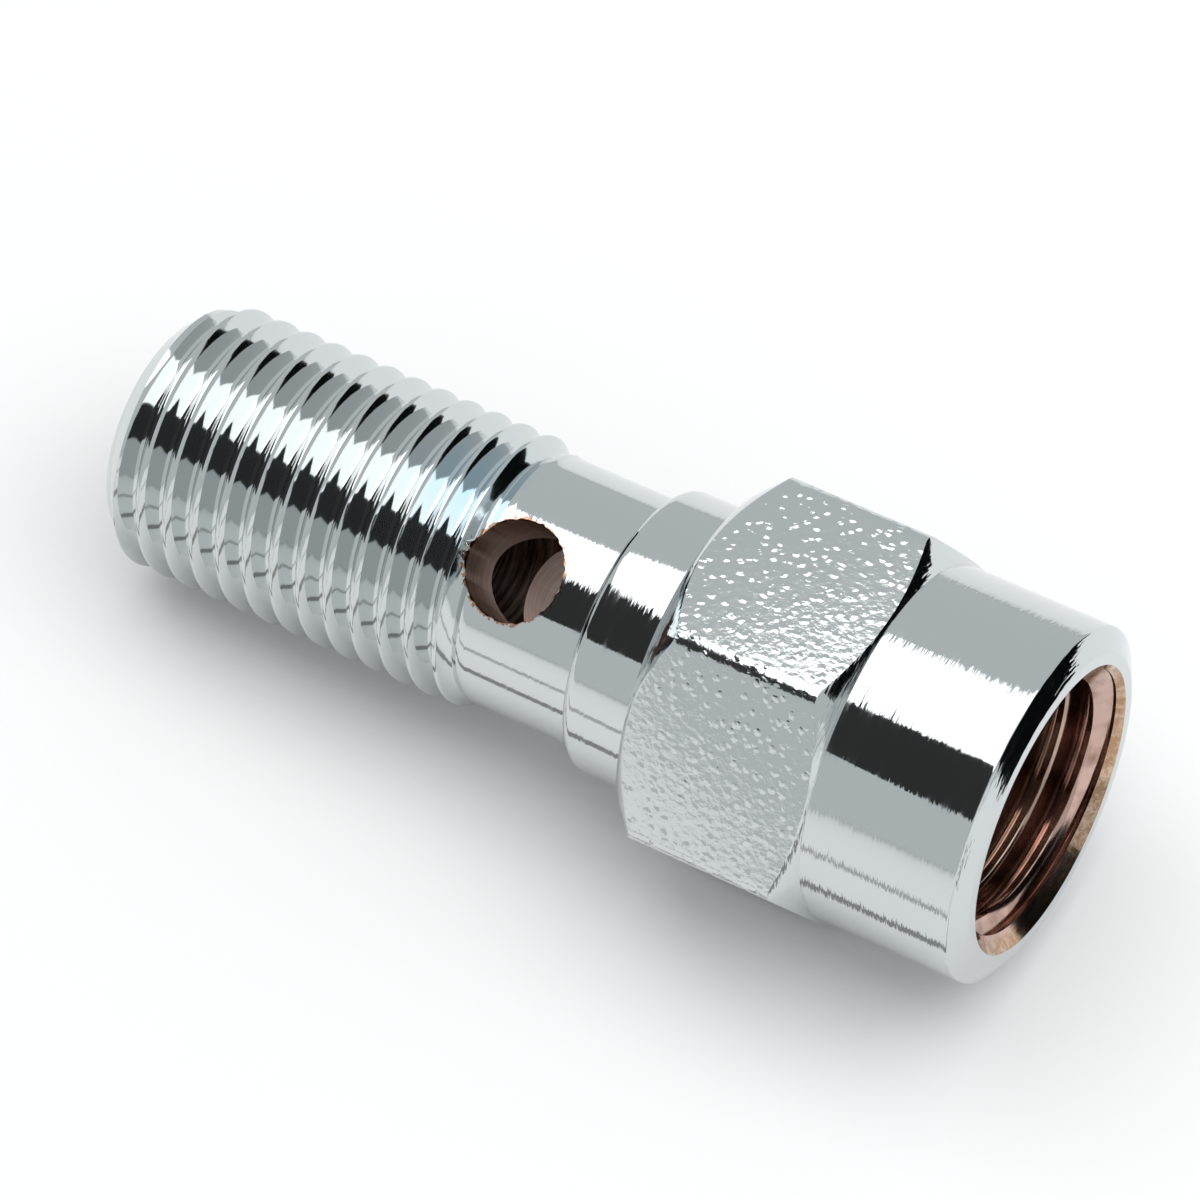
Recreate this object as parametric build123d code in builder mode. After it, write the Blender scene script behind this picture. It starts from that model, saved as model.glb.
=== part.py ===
"""Banjo bolt turned in one piece from hexagon bar.

A hollow threaded shank carries a smooth neck and a locating collar. The hexagon follows, and beyond
it a round socket with an inner thread. A cross hole through the neck opens into the hollow shank.

The bolt lies as it comes to rest on a flat floor: on the first full turn of its thread and on the
near end of one hexagon flat, so its axis climbs gently from the tip to the mouth.
The origin is the centre of the seat face, +X runs along the bolt to the mouth and +Z is up.
All sizes are in millimetres.
"""

import os
from math import atan2, cos, radians, sin, tan

from build123d import *

os.makedirs("parts", exist_ok=True)

# Shank, measured from the seat face to the tip, its right-handed thread has 24 turns to the inch
thread_diameter = 9.525
thread_pitch = 25.4 / 24
thread_angle = 60
shank_length = 21.3
thread_length = 13.8
tip_chamfer = 0.85
neck_relief = 0.36
collar_step = 0.6
collar_length = 2.9
collar_edge = 0.4

# Hexagon, its seat face is left round by a steep cone and its far end by a flat one
across_flats = 12.7
hexagon_length = 6.8
hexagon_edge = 0.7
seat_diameter = 12.3
seat_cone_angle = 45
outer_cone_angle = 30

# Socket, from the hexagon to the mouth
socket_diameter = 12.4
socket_length = 5.7
rim_diameter = 10.9
rim_angle = 30
mouth_diameter = 10.05
inner_thread_bore = 8.5
inner_thread_depth = 10.0
drill_point_angle = 118

# Passages for the fluid
passage_diameter = 3.6
port_diameter = 3.4
port_from_seat = 6.0
port_angle = 60

# The neck is cut a little below the thread, and the collar stands up from the neck
thread_radius = thread_diameter / 2
neck_radius = thread_radius - neck_relief
collar_radius = neck_radius + collar_step
flat_distance = across_flats / 2
socket_radius = socket_diameter / 2
bore_radius = inner_thread_bore / 2
passage_radius = passage_diameter / 2

# The floor touches the first full turn of the thread and the start of the lowest flat
flat_start = (flat_distance - seat_diameter / 2) / tan(radians(seat_cone_angle))
crest_start = shank_length - tip_chamfer
tilt = atan2(flat_distance - thread_radius, flat_start + crest_start)

# Standard thread form: depth and flat crests are shares of the pitch, the ridge is rooted in the core
thread_depth = 0.6134 * thread_pitch
root_radius = thread_radius - thread_depth
ridge_height = thread_depth + 0.1 * thread_pitch
crest_width = thread_pitch / 8
ridge_width = crest_width + 2 * ridge_height * tan(radians(thread_angle / 2))

# The thread fades out at the neck, where its crests come down and its roots fill up
thread_end = thread_length - shank_length
run_out = 1.5 * thread_pitch
turn_count = int(thread_length / thread_pitch) + 3

# Directions of the lying bolt: along its axis, and up at right angles to it
along = Vector(cos(tilt), 0, sin(tilt))
upward = Vector(-sin(tilt), 0, cos(tilt))
nearward = Vector(0, -1, 0)
bolt_axis = Axis((0, 0, 0), along)

# The seat plane stands across the axis, the profile plane holds the axis and a radius
seat_plane = Plane(origin=(0, 0, 0), x_dir=(0, 1, 0), z_dir=along)
profile_plane = Plane(origin=(0, 0, 0), x_dir=along, z_dir=nearward)

# The cross hole runs square to the axis, in line with an upper edge of the hexagon
port_direction = nearward * cos(radians(port_angle)) + upward * sin(radians(port_angle))
port_plane = Plane(origin=along * -port_from_seat, x_dir=along, z_dir=port_direction)

# Lengths that follow from the angles of the cones
neck_start = thread_end - (neck_radius - passage_radius)
corner_radius = flat_distance / cos(radians(30))
seat_cone_end = (corner_radius - seat_diameter / 2) / tan(radians(seat_cone_angle))
outer_cone_length = (corner_radius - socket_radius) * tan(radians(outer_cone_angle))
rim_cone_length = (socket_radius - rim_diameter / 2) * tan(radians(rim_angle))
mouth_at = hexagon_length + socket_length
countersink_depth = mouth_diameter / 2 - bore_radius
drill_point_length = (bore_radius - passage_radius) / tan(radians(drill_point_angle / 2))
bore_end = mouth_at - inner_thread_depth

# One turn of the thread, standing upright: its ridge is swept through three turns and cut to the middle one
with BuildPart() as thread_turn:
    with BuildLine() as helix:
        Helix(
            pitch=thread_pitch,
            height=3 * thread_pitch,
            radius=thread_radius - ridge_height,
            center=(0, 0, -thread_pitch),
        )
    with BuildSketch(Plane(origin=helix.line @ 0, x_dir=(1, 0, 0), z_dir=helix.line % 0)) as ridge:
        with BuildLine() as ridge_outline:
            Polyline(
                (0, ridge_width / 2),
                (ridge_height, crest_width / 2),
                (ridge_height, -crest_width / 2),
                (0, -ridge_width / 2),
                close=True,
            )
        make_face()
    sweep(path=helix.line, is_frenet=True)
    with BuildSketch(Plane.XY.offset(-2 * thread_pitch)) as core:
        Circle(root_radius)
    extrude(amount=5 * thread_pitch)
    with BuildSketch() as around:
        Circle(thread_diameter)
    extrude(amount=thread_pitch, mode=Mode.INTERSECT)

with BuildPart() as banjo_bolt:
    # Hexagon bar with softened long edges, one flat facing the floor
    with BuildSketch(seat_plane) as hexagon:
        RegularPolygon(radius=flat_distance, side_count=6, major_radius=False)
        fillet(hexagon.vertices(), radius=hexagon_edge)
    extrude(amount=hexagon_length)

    # Turns of the thread in a row, from one turn beyond the tip to the neck
    turn_starts = [(number - 1) * thread_pitch - shank_length for number in range(turn_count)]
    turn_planes = [Plane(origin=along * start, x_dir=-upward, z_dir=along) for start in turn_starts]
    add([turn_plane * thread_turn.part.solid() for turn_plane in turn_planes])

    # Turning takes the thread down at both of its ends, and the corners off the hexagon
    with BuildSketch(profile_plane) as turned:
        with BuildLine() as turned_outline:
            Polyline(
                (-shank_length, 0),
                (-shank_length, thread_radius - tip_chamfer),
                (-crest_start + thread_pitch, thread_radius + thread_pitch),
                (thread_end - run_out, thread_radius + neck_relief),
                (thread_end + run_out, neck_radius - neck_relief),
                (0, neck_radius - neck_relief),
                (0, seat_diameter / 2),
                (seat_cone_end, corner_radius),
                (hexagon_length - outer_cone_length, corner_radius),
                (hexagon_length, socket_radius),
                (hexagon_length, 0),
                close=True,
            )
        make_face()
    revolve(axis=bolt_axis, mode=Mode.INTERSECT)

    # Neck that fills the last roots of the thread, and the collar
    with BuildSketch(profile_plane) as neck:
        with BuildLine() as neck_outline:
            Polyline(
                (0, 0),
                (0, collar_radius),
                (-collar_length, collar_radius),
                (-collar_length, neck_radius),
                (thread_end, neck_radius),
                (neck_start, passage_radius),
                (neck_start, 0),
                close=True,
            )
        make_face()
        collar_corner = neck.vertices().sort_by_distance((-collar_length, collar_radius))[0]
        fillet(collar_corner, radius=collar_edge)
    revolve(axis=bolt_axis)

    # Round socket with a cone at its rim that leaves a narrow flat lip
    with BuildSketch(profile_plane) as socket:
        with BuildLine() as socket_outline:
            Polyline(
                (hexagon_length, 0),
                (hexagon_length, socket_radius),
                (mouth_at - rim_cone_length, socket_radius),
                (mouth_at, rim_diameter / 2),
                (mouth_at, 0),
                close=True,
            )
        make_face()
    revolve(axis=bolt_axis)

    # Countersunk bore for the inner thread, its drill point and the passage to the tip
    with BuildSketch(profile_plane) as bore:
        with BuildLine() as bore_outline:
            Polyline(
                (mouth_at, 0),
                (mouth_at, mouth_diameter / 2),
                (mouth_at - countersink_depth, bore_radius),
                (bore_end, bore_radius),
                (bore_end - drill_point_length, passage_radius),
                (-shank_length, passage_radius),
                (-shank_length, 0),
                close=True,
            )
        make_face()
    revolve(axis=bolt_axis, mode=Mode.SUBTRACT)

    # Cross hole through both walls of the neck
    with BuildSketch(port_plane) as port:
        Circle(port_diameter / 2)
    extrude(amount=neck_radius * 2, both=True, mode=Mode.SUBTRACT)

banjo_bolt.part.label = "banjo_bolt"
export_step(banjo_bolt.part, "parts/banjo_bolt.step")
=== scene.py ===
from math import atan2, cos, copysign, pi, radians, sin, sqrt, tan

import bpy
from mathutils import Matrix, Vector


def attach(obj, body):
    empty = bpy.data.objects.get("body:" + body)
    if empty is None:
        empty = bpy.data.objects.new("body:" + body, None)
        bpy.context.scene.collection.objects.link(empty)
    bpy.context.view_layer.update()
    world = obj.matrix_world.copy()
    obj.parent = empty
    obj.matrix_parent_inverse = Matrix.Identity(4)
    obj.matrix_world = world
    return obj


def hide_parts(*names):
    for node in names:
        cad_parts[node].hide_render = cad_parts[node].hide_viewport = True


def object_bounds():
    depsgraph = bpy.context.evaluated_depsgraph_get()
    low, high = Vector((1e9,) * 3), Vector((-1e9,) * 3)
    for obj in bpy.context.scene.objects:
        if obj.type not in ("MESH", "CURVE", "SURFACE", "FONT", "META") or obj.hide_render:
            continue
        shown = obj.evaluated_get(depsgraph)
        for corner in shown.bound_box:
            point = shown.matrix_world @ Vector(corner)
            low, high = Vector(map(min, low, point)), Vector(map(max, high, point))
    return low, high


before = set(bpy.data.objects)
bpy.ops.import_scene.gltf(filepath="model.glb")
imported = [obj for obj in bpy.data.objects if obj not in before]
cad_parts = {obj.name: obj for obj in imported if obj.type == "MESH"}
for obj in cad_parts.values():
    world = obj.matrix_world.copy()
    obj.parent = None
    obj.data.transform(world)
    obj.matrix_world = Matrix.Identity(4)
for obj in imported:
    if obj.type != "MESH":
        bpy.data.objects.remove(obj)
cad_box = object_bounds()

# Shank: the hollow end of the bolt with its rolled thread, steel under chrome plate.
# The thread is pressed into a bar as thick as the neck: crests stand above it and roots lie below.
# Swept as one helix, upright and in millimetres from the seat face, like all of the bolt until it lies.
bpy.ops.object.select_all(action="DESELECT")
inch = 25.4
pitch = inch / 24
crest_radius = 9.525 / 2
flank_angle = radians(30)
crest_width = pitch / 8
thread_depth = 0.6134 * pitch
root_radius = crest_radius - thread_depth
root_width = pitch - crest_width - 2 * thread_depth * tan(flank_angle)
thread_rounding = 0.035
neck_relief = 0.36
neck_radius = crest_radius - neck_relief
tip_at = -21.3
tip_chamfer = 0.85
tip_rounding = 0.12
thread_end = -7.5
fade_length = pitch
collar_start = -2.9
overlap = 0.5
ROUND_STEPS = 144
MERGE = 0.0005
CLEAR = 0.0013


def add_line(name, points):
    """A new object holding a chain of edges through (radius, height) points, left in edit mode."""
    bpy.ops.mesh.primitive_circle_add(vertices=3, radius=0.001)
    line = bpy.context.object
    line.name = name
    bpy.ops.object.mode_set(mode="EDIT")
    bpy.ops.mesh.merge(type="CENTER")
    here = Vector((0, 0, 0))
    for number, (radius, height) in enumerate(points):
        there = Vector((radius, 0, height))
        if number == 0:
            bpy.ops.transform.translate(value=there)
        else:
            bpy.ops.mesh.extrude_region_move(TRANSFORM_OT_translate={"value": there - here})
        here = there
    bpy.ops.mesh.select_all(action="SELECT")
    return line


def sweep_thread(name, inner, outer, outer_flat, inner_flat, start, end):
    """A right-handed helix with softened flats at both radii, open ended and longer than asked for.

    Its outer flat passes the X axis at the start height.
    """
    crest = outer_flat / 2
    root = inner_flat / 2
    slope = (outer - inner) / (pitch / 2 - crest - root)
    slight = thread_rounding * 0.2
    aside = thread_rounding / 3
    flat_share = 0.75
    half = [
        (inner, 0),
        (inner + slight, root * flat_share),
        (inner + thread_rounding, root + aside),
        (inner + slope * (pitch / 4 - root), pitch / 4),
        (outer - thread_rounding, pitch / 2 - crest - aside),
        (outer - slight, pitch / 2 - crest * flat_share),
    ]
    top = [(outer, pitch / 2)]
    other_half = [(radius, pitch - height) for radius, height in reversed(half)]
    lift = start - 1.5 * pitch
    spare_turns = 4
    body = add_line(name, [(radius, height + lift) for radius, height in half + top + other_half])
    bpy.ops.object.mode_set(mode="OBJECT")
    helix = body.modifiers.new("Helix", "SCREW")
    helix.axis = "Z"
    helix.angle = 2 * pi
    helix.screw_offset = pitch
    helix.iterations = int((end - start) / pitch) + spare_turns
    helix.steps = helix.render_steps = ROUND_STEPS
    helix.use_merge_vertices = True
    helix.merge_threshold = MERGE
    bpy.ops.object.modifier_apply(modifier="Helix")
    bpy.ops.object.mode_set(mode="EDIT")
    bpy.ops.mesh.select_all(action="SELECT")
    bpy.ops.mesh.remove_doubles(threshold=MERGE)
    bpy.ops.object.mode_set(mode="OBJECT")
    return body


def close_ends(body, start, end):
    """Cuts the open helix square at both heights, clear of its own points, and caps it."""
    bpy.ops.object.mode_set(mode="EDIT")
    for height, normal in ((start + CLEAR, -1), (end + CLEAR, 1)):
        bpy.ops.mesh.select_all(action="SELECT")
        bpy.ops.mesh.bisect(
            plane_co=(0, 0, height), plane_no=(0, 0, normal), use_fill=True, clear_outer=True, threshold=1e-6
        )
    bpy.ops.mesh.select_all(action="SELECT")
    bpy.ops.mesh.normals_make_consistent(inside=False)
    bpy.ops.object.mode_set(mode="OBJECT")


# The thread fades into the neck, and the tip's chamfer meets it with a soft edge
shank_top = collar_start + overlap
shank = sweep_thread("shank", root_radius, crest_radius, crest_width, root_width, tip_at, shank_top)
for vertex in shank.data.vertices:
    radius = sqrt(vertex.co.x**2 + vertex.co.y**2)
    fade = min(1, max(0, (thread_end - vertex.co.z) / fade_length + 0.5))
    fade = fade * fade * (3 - 2 * fade)
    wanted = neck_radius + (radius - neck_radius) * fade
    cone = crest_radius - tip_chamfer + (vertex.co.z - tip_at)
    if cone < crest_radius + tip_chamfer:
        near = max(0, tip_rounding - abs(wanted - cone)) / tip_rounding
        wanted = min(wanted, cone) - near * near * tip_rounding / 4
    vertex.co.x *= wanted / radius
    vertex.co.y *= wanted / radius
close_ends(shank, tip_at, shank_top)

# Collar: the turned step that centres the fitting under the seat face, steel under chrome plate.
# Its outline is spun round the axis with a rounded lower corner and runs up into the hexagon.
# It is turned by half a step, so that none of its points fall on the shank's.
collar_step = 0.6
collar_radius = neck_radius + collar_step
collar_edge = 0.4


def turn(name, outline):
    """A closed body spun about the axis from an outline that starts and ends on it."""
    body = add_line(name, outline)
    bpy.ops.mesh.spin(steps=ROUND_STEPS, angle=2 * pi, center=(0, 0, 0), axis=(0, 0, 1))
    bpy.ops.mesh.select_all(action="SELECT")
    bpy.ops.mesh.remove_doubles(threshold=MERGE)
    bpy.ops.mesh.normals_make_consistent(inside=False)
    bpy.ops.object.mode_set(mode="OBJECT")
    return body


def corner(radius, height, size, start, end, count=5):
    """Points of an arc about (radius, height) from one angle to another, in degrees."""
    angles = [radians(start + (end - start) * step / (count - 1)) for step in range(count)]
    return [(radius + size * cos(a), height + size * sin(a)) for a in angles]


collar = turn(
    "collar",
    [(0, collar_start)]
    + corner(collar_radius - collar_edge, collar_start + collar_edge, collar_edge, -90, 0, 8)
    + [(collar_radius, overlap), (0, overlap)],
)
collar.rotation_euler.z = pi / ROUND_STEPS

# Socket: the round turned end that takes the next fitting, steel under chrome plate.
# A cone breaks its outer edge and leaves a narrow flat lip at the mouth, both with softened corners.
hexagon_end = 6.8
socket_radius = 6.2
mouth_at = 12.5
rim_radius = 10.9 / 2
rim_angle = radians(30)
rim_height = (socket_radius - rim_radius) * tan(rim_angle)
edge = 0.12
cone_drop = edge * 0.3
lip_inset = edge / 4
socket = turn(
    "socket",
    [(0, hexagon_end - overlap), (socket_radius, hexagon_end - overlap)]
    + corner(socket_radius - edge, mouth_at - rim_height - cone_drop, edge, 0, 60)
    + corner(rim_radius - lip_inset, mouth_at - edge, edge, 60, 90)
    + [(0, mouth_at)],
)

# Hexagon: what is left of the half inch drawn bar, steel under chrome plate.
# A cone takes the corners off at each end: steep at the seat face, flat towards the socket.
# Its long edges are rounded, and all is joined to the shank, the collar and the socket.
flat_distance = 12.7 / 2
seat_radius = 12.3 / 2
long_edge = 0.4
cone_edge = 0.05
cone_angle = radians(30)
cone_reach = 2
sunk = 0.03
spare = 1
hexagon_top = hexagon_end + sunk
shoulder_radius = socket_radius - cone_edge
bpy.ops.mesh.primitive_cylinder_add(
    vertices=6,
    radius=flat_distance / cos(pi / 6),
    depth=hexagon_top + spare,
    location=(0, 0, hexagon_top / 2),
)
hexagon = bpy.context.object
hexagon.name = "hexagon"
bpy.ops.object.transform_apply(location=True, rotation=True, scale=True)
bpy.ops.object.mode_set(mode="EDIT")
bpy.ops.mesh.select_all(action="DESELECT")
bpy.ops.object.mode_set(mode="OBJECT")
for side in hexagon.data.edges:
    ends = [hexagon.data.vertices[number].co.z for number in side.vertices]
    side.select = abs(ends[0] - ends[1]) > spare
bpy.ops.object.mode_set(mode="EDIT")
bpy.ops.mesh.select_mode(type="EDGE")
bpy.ops.mesh.bevel(offset=long_edge, segments=10, affect="EDGES")
bpy.ops.mesh.select_mode(type="VERT")
bpy.ops.object.mode_set(mode="OBJECT")
cones = turn(
    "cones",
    [
        (0, 0),
        (seat_radius, 0),
        (seat_radius + cone_reach, cone_reach),
        (shoulder_radius + cone_reach, hexagon_top - cone_reach * tan(cone_angle)),
        (shoulder_radius, hexagon_top),
        (0, hexagon_top),
    ],
)


def combine(body, other, operation):
    """Adds, cuts or intersects one body with another, which is used up."""
    bpy.ops.object.select_all(action="DESELECT")
    body.select_set(True)
    bpy.context.view_layer.objects.active = body
    step = body.modifiers.new("Combine", "BOOLEAN")
    step.operation = operation
    step.solver = "EXACT"
    step.object = other
    bpy.ops.object.modifier_apply(modifier="Combine")
    bpy.data.objects.remove(other)


combine(hexagon, cones, "INTERSECT")
soften = hexagon.modifiers.new("Soften", "BEVEL")
soften.width = cone_edge
soften.segments = 2
soften.limit_method = "ANGLE"
soften.angle_limit = radians(20)
bpy.ops.object.modifier_apply(modifier="Soften")
bolt = hexagon
bolt.name = "banjo_bolt_body"
combine(bolt, collar, "UNION")
combine(bolt, socket, "UNION")
combine(bolt, shank, "UNION")

# Bores: the tapped hole of the socket, its drill point and the passage on to the tip.
# A tap cuts the inner thread first, a drill of its bore follows and a countersink opens the mouth.
# The tap stays just clear of the drill's size, because a cut needs surfaces that don't coincide.
bore_radius = 8.5 / 2
passage_radius = 1.8
mouth_radius = 10.05 / 2
bore_end = mouth_at - 10
drill_angle = radians(118)
drill_point = (bore_radius - passage_radius) / tan(drill_angle / 2)
drill_overlap = 1.5
past_end = 1
first_groove = 0.56
tap_turns = 8
tap_play = 0.06
tap_clear = 0.004
tap_start = mouth_at - first_groove - tap_turns * pitch
tap_end = mouth_at + past_end
tap = sweep_thread(
    "tap", bore_radius + tap_clear, crest_radius + tap_play, pitch / 8, pitch / 4, tap_start, tap_end
)
close_ends(tap, tap_start, tap_end)
combine(bolt, tap, "DIFFERENCE")
drill = turn(
    "drill",
    [
        (0, tip_at - past_end),
        (passage_radius, tip_at - past_end),
        (passage_radius, bore_end - drill_point),
        (bore_radius, bore_end),
        (bore_radius, bore_end + drill_overlap),
        (0, bore_end + drill_overlap),
    ],
)
combine(bolt, drill, "DIFFERENCE")
countersink = turn(
    "countersink",
    [(0, mouth_at - mouth_radius), (mouth_radius + past_end, mouth_at + past_end), (0, mouth_at + past_end)],
)
combine(bolt, countersink, "DIFFERENCE")

# Cross hole: drilled through both walls of the neck, half of it in the end of the thread.
# The drill's cutter widens a little at each outer surface, which leaves the rim with an uneven burr.
port_radius = 1.7
port_at = -6
port_angle = radians(60)
port_reach = 7
rim_depth = 0.13
rim_start = neck_radius - rim_depth
burr_width = 0.03
burr_waves = ((17, 0, 0.018), (29, 1, 0.014), (41, 2, 0.012))
port_levels = (-port_reach, -neck_radius, -rim_start, rim_start, neck_radius, port_reach)
port = turn(
    "port", [(0, -port_reach)] + [(port_radius, level) for level in port_levels] + [(0, port_reach)]
)
for vertex in port.data.vertices:
    around = atan2(vertex.co.y, vertex.co.x)
    depth = abs(vertex.co.z)
    if depth < port_reach - 1:
        drop = neck_radius - sqrt(neck_radius**2 - vertex.co.x**2)
        vertex.co.z -= copysign(drop, vertex.co.z)
    if depth > neck_radius - rim_depth / 2:
        burr = burr_width
        for count, shift, size in burr_waves:
            burr += size * sin(count * around + shift)
        vertex.co.x *= 1 + burr / port_radius
        vertex.co.y *= 1 + burr / port_radius
port_direction = Vector((-sin(port_angle), -cos(port_angle), 0))
port.rotation_euler = port_direction.to_track_quat("Z", "Y").to_euler()
port.location = (0, 0, port_at)
bpy.ops.object.transform_apply(location=True, rotation=True, scale=True)
combine(bolt, port, "DIFFERENCE")

# The bolt at rest: it lies on the first full turn of its thread and the near end of the lowest flat.
# It is laid down with the tilt that follows from these two, scaled to metres and smoothed by angle.
tilt = atan2(flat_distance - crest_radius, flat_distance - seat_radius - tip_at - tip_chamfer)
along = Vector((cos(tilt), 0, sin(tilt)))
up = Vector((-sin(tilt), 0, cos(tilt)))
port_way = Vector((0, -cos(port_angle), 0)) + up * sin(port_angle)
port_centre = along * port_at
sharp_angle = radians(28)
bpy.ops.object.select_all(action="DESELECT")
bolt.select_set(True)
bpy.context.view_layer.objects.active = bolt
bolt.rotation_euler = (0, pi / 2 - tilt, 0)
bolt.scale = (0.001, 0.001, 0.001)
bpy.ops.object.transform_apply(location=True, rotation=True, scale=True)
bpy.ops.object.shade_smooth_by_angle(angle=sharp_angle)

# Turned chrome: bright plating over lathe marks on neck, collar, socket and cones.
# The marks run round the axis, so light and dark meet in fine ragged streaks, longest on the socket.
# A lathe's own marks are finer than these, which are drawn just coarse enough to show.
chrome_colour = "CED2D3"
undercoat_colour = "A88068"
turned_per_mm = 4.5
turned_length = 2.5
turned_depth = 0.026
rim_notches_per_mm = 5.2
rim_inward = 0.02
rim_outward = 0.14
SMOOTH = {"interpolation_type": "SMOOTHSTEP"}
COLOURS = {"data_type": "RGBA"}


def linear(code):
    """A colour given as RRGGBB in sRGB, as linear values."""
    parts = [int(code[place : place + 2], 16) / 255 for place in (0, 2, 4)]
    return [part / 12.92 if part < 0.04045 else ((part + 0.055) / 1.055) ** 2.4 for part in parts] + [1]


def add_node(material, kind, output=0, settings=None, into=None, **inputs):
    """One shader node with its own settings, values and links, which gives the output that is asked for.

    An input goes by its name, or by its number after an underscore where names repeat.
    """
    made = material.node_tree.nodes.new("ShaderNode" + kind)
    for field, value in (settings or {}).items():
        setattr(made, field, value)
    for name, value in inputs.items():
        entry = made.inputs[int(name[1:]) if name[1:].isdigit() else name.replace("_", " ")]
        if isinstance(value, bpy.types.NodeSocket):
            material.node_tree.links.new(value, entry)
        else:
            entry.default_value = value
    if into:
        material.node_tree.links.new(made.outputs[output], into)
    return made.outputs[output]


def metal(name, colour, roughness):
    """A bare metal surface with its principled shader."""
    material = bpy.data.materials.new(name)
    material.use_nodes = True
    shader = material.node_tree.nodes["Principled BSDF"]
    shader.inputs["Base Color"].default_value = linear(colour)
    shader.inputs["Metallic"].default_value = 1
    shader.inputs["Roughness"].default_value = roughness
    return material, shader


def distance_along(material, axis):
    """How far a point lies along an axis from the seat face, in millimetres."""
    place = add_node(material, "TexCoord", "Object")
    return add_node(
        material, "VectorMath", "Value", {"operation": "DOT_PRODUCT"}, _0=place, _1=axis * 1000
    )


def tool_marks(material, axis, marks_per_mm, mark_length):
    """Noise as a cutting tool leaves it: fine along the axis of the cut and long round it."""
    place = add_node(material, "TexCoord", "Object")
    across = add_node(
        material, "VectorMath", "Vector", {"operation": "SCALE"}, _0=place, Scale=1000 / mark_length
    )
    fine = add_node(
        material, "Math", 0, {"operation": "MULTIPLY"}, _0=distance_along(material, axis), _1=marks_per_mm
    )
    return add_node(
        material, "TexNoise", 0, {"noise_dimensions": "4D"},
        Vector=across, W=fine, Scale=1.0, Detail=3.0, Roughness=0.65,
    )


def bare_edge(material, shader, plated):
    """Where the plating ends at the rim of the cross hole, a thin ragged ring of brown undercoat shows."""
    place = add_node(material, "TexCoord", "Object")
    centred = add_node(
        material, "VectorMath", "Vector", {"operation": "SUBTRACT"}, _0=place, _1=port_centre / 1000
    )
    away = add_node(
        material, "VectorMath", "Vector", {"operation": "CROSS_PRODUCT"}, _0=centred, _1=port_way
    )
    distance = add_node(material, "VectorMath", "Value", {"operation": "LENGTH"}, _0=away)
    ragged = add_node(
        material, "TexNoise", Vector=place, Scale=rim_notches_per_mm * 1000, Detail=2.0, Roughness=0.6
    )
    reach = add_node(
        material, "MapRange", 0, SMOOTH, Value=ragged,
        From_Min=0.35, From_Max=0.7, To_Min=-rim_inward / 1000, To_Max=rim_outward / 1000,
    )
    past = add_node(material, "Math", 0, {"operation": "SUBTRACT"}, _0=distance, _1=reach)
    bare = add_node(
        material, "MapRange", 0, SMOOTH, Value=past,
        From_Min=(port_radius + 0.01) / 1000, From_Max=(port_radius + 0.05) / 1000, To_Min=1.0, To_Max=0.0,
    )
    add_node(
        material, "Mix", 2, COLOURS, shader.inputs["Base Color"],
        _0=bare, _6=plated, _7=linear(undercoat_colour),
    )


turned, shader = metal("turned_chrome", chrome_colour, 0.05)
marks = tool_marks(turned, along, turned_per_mm, turned_length)
full_on_socket = add_node(
    turned, "MapRange", 0, SMOOTH, Value=distance_along(turned, along),
    From_Min=hexagon_end - 1, From_Max=hexagon_end, To_Min=0.3, To_Max=1.0,
)
add_node(
    turned, "Bump", 0, None, shader.inputs["Normal"],
    Height=marks, Strength=full_on_socket, Distance=turned_depth / 1000,
)
add_node(
    turned, "MapRange", 0, SMOOTH, shader.inputs["Roughness"], Value=marks,
    From_Min=0.45, From_Max=0.75, To_Min=0.04, To_Max=0.13,
)
bare_edge(turned, shader, linear(chrome_colour))

# Rolled chrome: the plated thread, smoother than the turned parts and softly uneven along its crests.
# Near the cross hole it carries a faint bluish tint.
tint_colour = "C0CFD6"
tint_centre = along * -8.6 + up * 3.4
tint_core = 0.6
tint_reach = 3
rolled_per_mm = 1.2
rolled_length = 1.5
rolled_depth = 0.006
rolled, shader = metal("rolled_chrome", chrome_colour, 0.07)
add_node(
    rolled, "Bump", 0, None, shader.inputs["Normal"],
    Height=tool_marks(rolled, along, rolled_per_mm, rolled_length), Distance=rolled_depth / 1000,
)
place = add_node(rolled, "TexCoord", "Object")
distance = add_node(
    rolled, "VectorMath", "Value", {"operation": "DISTANCE"}, _0=place, _1=tint_centre / 1000
)
near_hole = add_node(
    rolled, "MapRange", 0, SMOOTH, Value=distance,
    From_Min=tint_core / 1000, From_Max=tint_reach / 1000, To_Min=1.0, To_Max=0.0,
)
tint = add_node(
    rolled, "Mix", 2, COLOURS, _0=near_hole, _6=linear(chrome_colour), _7=linear(tint_colour)
)
bare_edge(rolled, shader, tint)

# Pebbled chrome: the drawn bar's rough skin under the plating on the six flats.
# Small round beads under the bright coat throw white glints over an even grey.
bead_spacing = 0.36
bead_height = 0.026
grains_per_mm = 4.2
grain_shift = 0.16
pebbled, shader = metal("pebbled_chrome", chrome_colour, 0.15)
place = add_node(pebbled, "TexCoord", "Object")
grain = add_node(pebbled, "TexNoise", Vector=place, Scale=grains_per_mm * 1000, Detail=2.0, Roughness=0.5)
uneven = add_node(
    pebbled, "VectorMath", "Vector", {"operation": "MULTIPLY_ADD"},
    _0=grain.node.outputs["Color"], _1=Vector((1, 1, 1)) * grain_shift / 1000, _2=place,
)
from_bead = add_node(pebbled, "TexVoronoi", "Distance", Vector=uneven, Scale=1000 / bead_spacing)
beads = add_node(
    pebbled, "MapRange", 0, SMOOTH, Value=from_bead, From_Min=0.03, From_Max=0.46, To_Min=1.0, To_Max=0.0
)
skin = add_node(pebbled, "Math", 0, {"operation": "MULTIPLY_ADD"}, _0=grain, _1=0.7, _2=beads)
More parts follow.
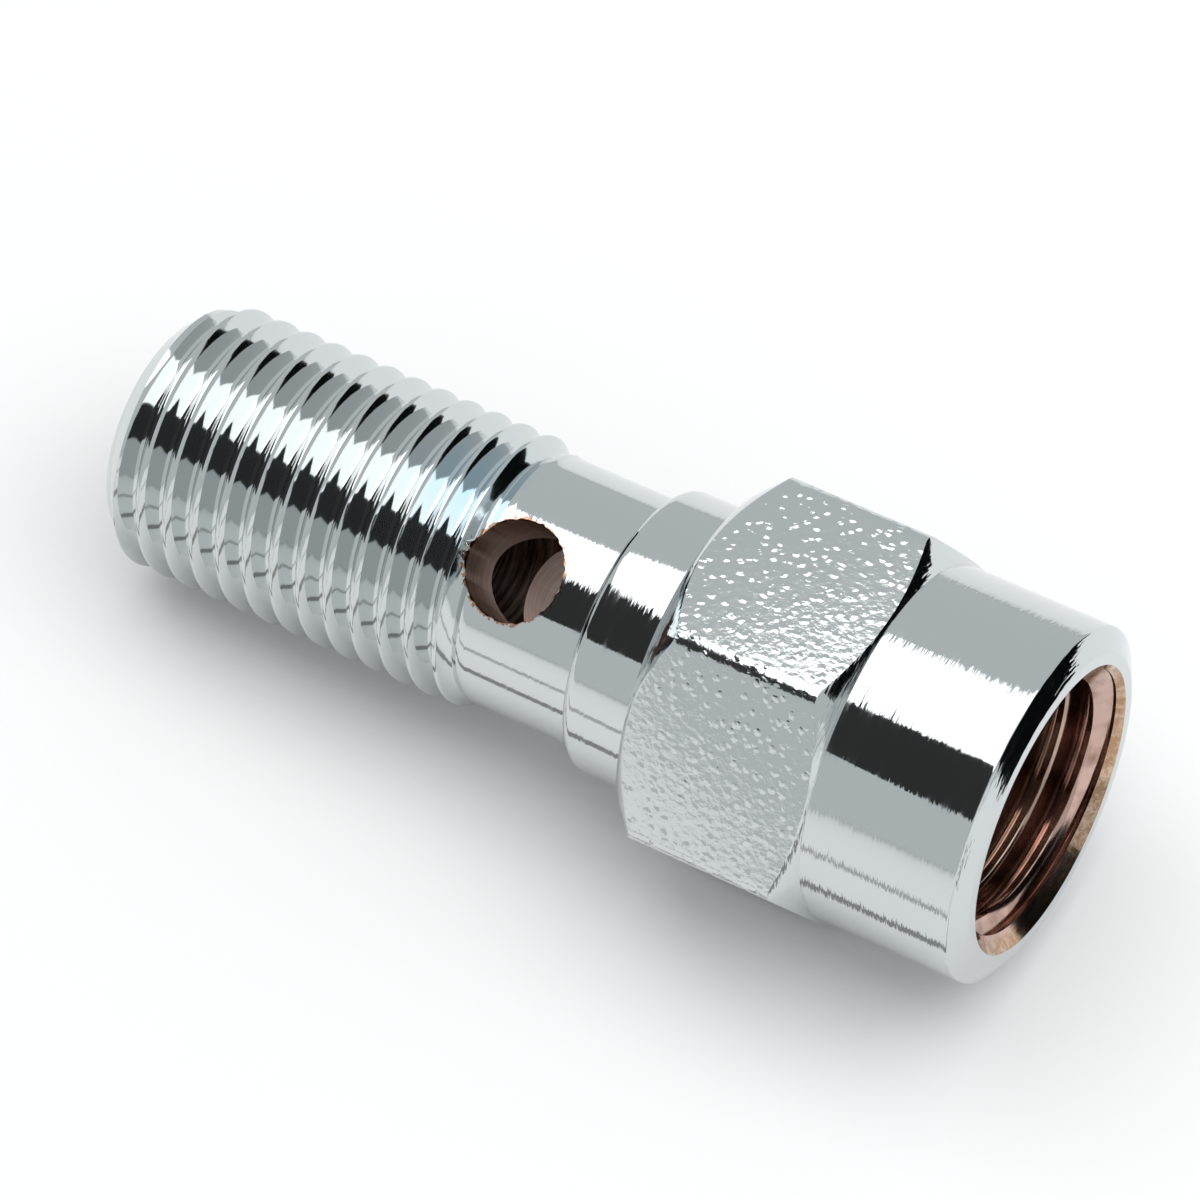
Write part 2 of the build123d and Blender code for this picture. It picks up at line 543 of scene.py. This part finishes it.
add_node(pebbled, "Bump", 0, None, shader.inputs["Normal"], Height=skin, Distance=bead_height / 1000)

# Copper undercoat: what the plating left of it in the tapped hole, brown in the grooves and tan at the lip.
# Fine cutting marks draw light lines along the crests of the inner thread.
copper_colour = "C2A494"
inner_colour = "B9A294"
first_turn_colours = ("CBABA0", "9A7C6E")
lip_colours = ("AE8B6E", "CFB49E")
tapped_per_mm = 5.0
tapped_length = 2.0
tapped_depth = 0.006
stains_per_mm = 0.9
specks_per_mm = 2.6
copper, shader = metal("copper_undercoat", copper_colour, 0.13)
add_node(
    copper, "Bump", 0, None, shader.inputs["Normal"],
    Height=tool_marks(copper, along, tapped_per_mm, tapped_length), Distance=tapped_depth / 1000,
)
place = add_node(copper, "TexCoord", "Object")
from_seat = distance_along(copper, along)
stain = add_node(copper, "TexNoise", Vector=place, Scale=stains_per_mm * 1000, Detail=3.0)
stained = add_node(copper, "MapRange", 0, SMOOTH, Value=stain, From_Min=0.42, From_Max=0.7)
first_turn = add_node(
    copper, "Mix", 2, COLOURS,
    _0=stained, _6=linear(first_turn_colours[0]), _7=linear(first_turn_colours[1]),
)
deep = add_node(
    copper, "MapRange", 0, SMOOTH, Value=from_seat,
    From_Min=mouth_at - 2.2, From_Max=mouth_at - 1.1, To_Min=1.0, To_Max=0.0,
)
inside = add_node(copper, "Mix", 2, COLOURS, _0=deep, _6=first_turn, _7=linear(inner_colour))
speckle = add_node(
    copper, "TexNoise", Vector=place, Scale=specks_per_mm * 1000, Detail=3.0, Roughness=0.7
)
speckled = add_node(copper, "MapRange", 0, SMOOTH, Value=speckle, From_Min=0.4, From_Max=0.62)
lip_tan = add_node(
    copper, "Mix", 2, COLOURS, _0=speckled, _6=linear(lip_colours[0]), _7=linear(lip_colours[1])
)
at_lip = add_node(
    copper, "MapRange", 0, SMOOTH, Value=from_seat, From_Min=mouth_at - 0.42, From_Max=mouth_at - 0.24
)
add_node(copper, "Mix", 2, COLOURS, shader.inputs["Base Color"], _0=at_lip, _6=inside, _7=lip_tan)

# Drilled walls: the cross hole and the passage, dull brown steel that the plating hardly reached.
# Marks of the drill run round each hole as faint grooves, and the light lines along them are painted sheen.
drilled_per_mm = 6.0
drilled_length = 3.0


def drilled_wall(name, axis, dark, light, roughness, mark_depth):
    """A dull drilled surface with the marks of the drill round this axis, its colour painted lighter along
    them.
    """
    material, shader = metal(name, light, roughness)
    marks = tool_marks(material, axis, drilled_per_mm, drilled_length)
    add_node(material, "Bump", 0, None, shader.inputs["Normal"], Height=marks, Distance=mark_depth / 1000)
    # Painted sheen: the colour turns lighter along the drill marks, standing in for light on their ridges.
    painted_sheen = add_node(material, "MapRange", 0, SMOOTH, Value=marks, From_Min=0.4, From_Max=0.65)
    add_node(
        material, "Mix", 2, COLOURS, shader.inputs["Base Color"],
        _0=painted_sheen, _6=linear(dark), _7=linear(light),
    )
    return material


# The second colour of each wall is the painted sheen on its drill marks.
port_wall = drilled_wall("drilled_port_wall", port_way, "9A7F72", "AE9386", 0.42, 0.006)
passage_wall = drilled_wall("drilled_passage_wall", along, "6E564A", "D8C6BC", 0.5, 0.03)

# Finishes: each face of the bolt takes the finish of the surface that it belongs to.
# That is told by its height from the seat face, its distance from the axis and the way it looks.
# All finishes are on the one plated bolt, which takes the place of the CAD solid.
finishes = (turned, rolled, pebbled, copper, port_wall, passage_wall)
hair = 0.01
wall_play = 0.02
port_play = 0.004
port_side = 0.3
flat_side = 0.45
flat_margin = 0.05
turned_neck = 0.3
passage_end = bore_end - drill_point
for material in finishes:
    bolt.data.materials.append(material)
for face in bolt.data.polygons:
    spot = face.center * 1000
    height = spot.dot(along)
    outward = spot - along * height
    radius = outward.length
    faces_axis = face.normal.dot(outward) < 0
    steep = abs(face.normal.dot(along))
    from_port = (spot - port_centre).cross(port_way).length
    in_port = from_port < port_radius + port_play and radius < crest_radius
    if radius < passage_radius + wall_play and tip_at + hair < height < passage_end:
        finish = passage_wall
    elif in_port and abs(face.normal.dot(port_way)) < port_side:
        finish = port_wall
    elif faces_axis and radius < mouth_radius and height > passage_end - hair:
        finish = copper
    elif wall_play < height < hexagon_end - flat_margin and steep < flat_side and radius > socket_radius:
        finish = pebbled
    elif height < thread_end + turned_neck:
        finish = rolled
    else:
        finish = turned
    face.material_index = finishes.index(finish)
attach(bolt, "root")
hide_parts("banjo_bolt")

# Floor: a sheet of white studio paper that the bolt lies on.
# It is matt all over, so it takes the bolt's soft shadow and mirrors nothing.
paper_colour = "EDEDED"
floor_size = 4
floor_at = cad_box[0].z
bpy.ops.mesh.primitive_plane_add(size=floor_size, location=(0, 0, floor_at))
floor = bpy.context.object
floor.name = "floor"
paper = bpy.data.materials.new("floor_paper")
paper.use_nodes = True
paper_shader = paper.node_tree.nodes["Principled BSDF"]
paper_shader.inputs["Base Color"].default_value = linear(paper_colour)
paper_shader.inputs["Roughness"].default_value = 0.9
paper_shader.inputs["Specular IOR Level"].default_value = 0
floor.data.materials.append(paper)

# Studio: pale walls, a softbox above the bolt, black flags and two grey strips, all in metres.
# Chrome shows what stands round it, so these draw the lights and darks on the bolt.
# The camera sees them in the chrome only, and only the softbox lights the paper.
wall_colour = "D0D4D5"
flag_colour = "0D1010"
world = bpy.data.worlds.new("studio")
world.use_nodes = True
world.node_tree.nodes["Background"].inputs["Color"].default_value = linear(wall_colour)
bpy.context.scene.world = world


def hang(name, corners, glow, lights=False):
    """A flat panel of the studio that the camera sees in reflections only."""
    bpy.ops.mesh.primitive_plane_add()
    panel = bpy.context.object
    panel.name = name
    for vertex, corner_at in zip(panel.data.vertices, corners):
        vertex.co = corner_at
    material = bpy.data.materials.new(name)
    material.use_nodes = True
    surface = material.node_tree.nodes["Principled BSDF"]
    surface.inputs["Base Color"].default_value = linear(flag_colour)
    surface.inputs["Specular IOR Level"].default_value = 0
    surface.inputs["Emission Color"].default_value = (1, 1, 1, 1)
    surface.inputs["Emission Strength"].default_value = glow
    panel.data.materials.append(material)
    panel.visible_camera = False
    panel.visible_shadow = False
    panel.visible_diffuse = lights


def overhead(front_left, front_right, back_left, back_right):
    """Corners of a level panel above the bolt."""
    height = 0.3
    return [(x, y, height) for x, y in (front_left, front_right, back_left, back_right)]


def sloping(reach, lower, upper):
    """Corners of a wide panel that leans back from its lower edge to its upper one."""
    return [(side, *edge_at) for edge_at in (lower, upper) for side in (-reach, reach)]


def across_floor(x_near, y_near, x_far, y_far, top):
    """Corners of an upright panel that stands on the floor between two points."""
    return ((x_near, y_near, floor_at), (x_far, y_far, floor_at), (x_near, y_near, top), (x_far, y_far, top))


def on_floor(near, far):
    """Corners of a strip that lies just above the floor in front of the bolt."""
    reach = 0.06
    lift = floor_at + 0.00005
    return ((-reach, near, lift), (reach, near, lift), (-reach, far, lift), (reach, far, lift))


hang("softbox", overhead((-0.13, -0.12), (0.34, -0.12), (-0.32, 0.09), (0.34, 0.24)), 2.4, lights=True)
hang("front_flag", sloping(0.9, (-0.5, 0.335), (-0.1, 0.75)), 0.035)
hang("left_flag", across_floor(-0.047, -0.02, -0.047, 0.03, 0.012), 0)
hang("right_flag", across_floor(0.06, 0.004, 0.035, 0.07, 0.02), 0)
hang("outer_strip", on_floor(-0.0215, -0.019), 0.52)
hang("inner_strip", on_floor(-0.0108, -0.0096), 0.3)

# Camera: a long lens that looks down on the bolt from its socket end, at the photograph's angle.
# One angle is measured from the bolt's axis, the other from the floor around that axis.
view_angle = radians(68.9)
facing_angle = radians(57.8)
camera_distance = 0.2
facing = Vector((0, -cos(facing_angle), 0)) + up * sin(facing_angle)
toward_camera = (along * cos(view_angle) + facing * sin(view_angle)).normalized()
camera_data = bpy.data.cameras.new("camera")
camera_data.lens = 183
camera_data.sensor_width = 36
camera_data.clip_start = 0.005
camera = bpy.data.objects.new("camera", camera_data)
bpy.context.collection.objects.link(camera)
camera.location = (cad_box[0] + cad_box[1]) / 2 + toward_camera * camera_distance
camera.rotation_euler = (-toward_camera).to_track_quat("-Z", "Y").to_euler()
scene = bpy.context.scene
scene.camera = camera
scene.view_settings.view_transform = "Standard"
